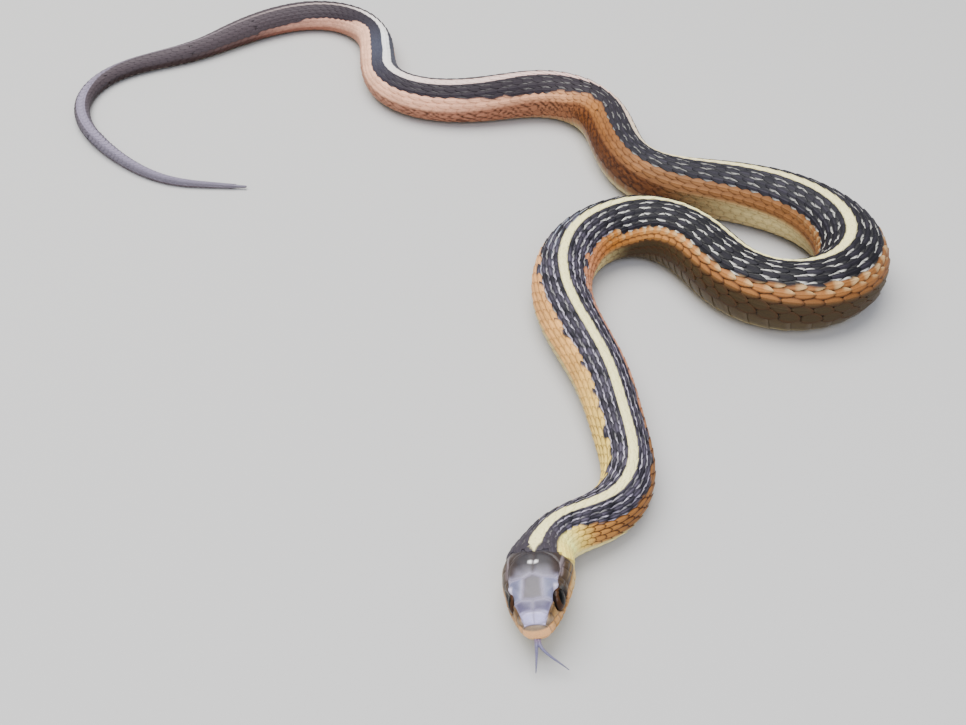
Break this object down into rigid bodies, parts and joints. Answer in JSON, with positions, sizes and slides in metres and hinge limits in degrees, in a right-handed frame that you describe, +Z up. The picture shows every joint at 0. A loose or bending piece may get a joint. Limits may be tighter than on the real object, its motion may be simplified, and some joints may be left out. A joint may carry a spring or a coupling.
{
  "type": "garter snake model",
  "caption": "Life-size still model of a garter snake lying in open curves, head raised and forked tongue out.",
  "frame": {"origin": "middle of the footprint of the whole snake, at the floor that the belly rests on", "axes": "+Z up; +Y away from the viewer, so that the head points along -Y; +X to the viewer's right and to the snake's left at the head"},
  "size_m": [0.1574, 0.1898, 0.0111],
  "materials": {
    "head": "satin scales",
    "body": "satin scales",
    "tail": "satin scales",
    "eye": "wet gloss",
    "tongue": "moist"
  },
  "bodies": {
    "root": {"head": "head", "eye_left": "eye", "eye_right": "eye", "tongue": "tongue", "neck": "body", "torso_1": "body", "torso_2": "body", "torso_3": "body", "torso_4": "body", "torso_5": "body", "torso_6": "body", "torso_7": "body", "torso_8": "body", "torso_9": "body", "torso_10": "body", "torso_11": "body", "torso_12": "body", "torso_13": "body", "tail_1": "tail", "tail_2": "tail", "tail_3": "tail", "tail_4": "tail"}
  },
  "joints": []
}
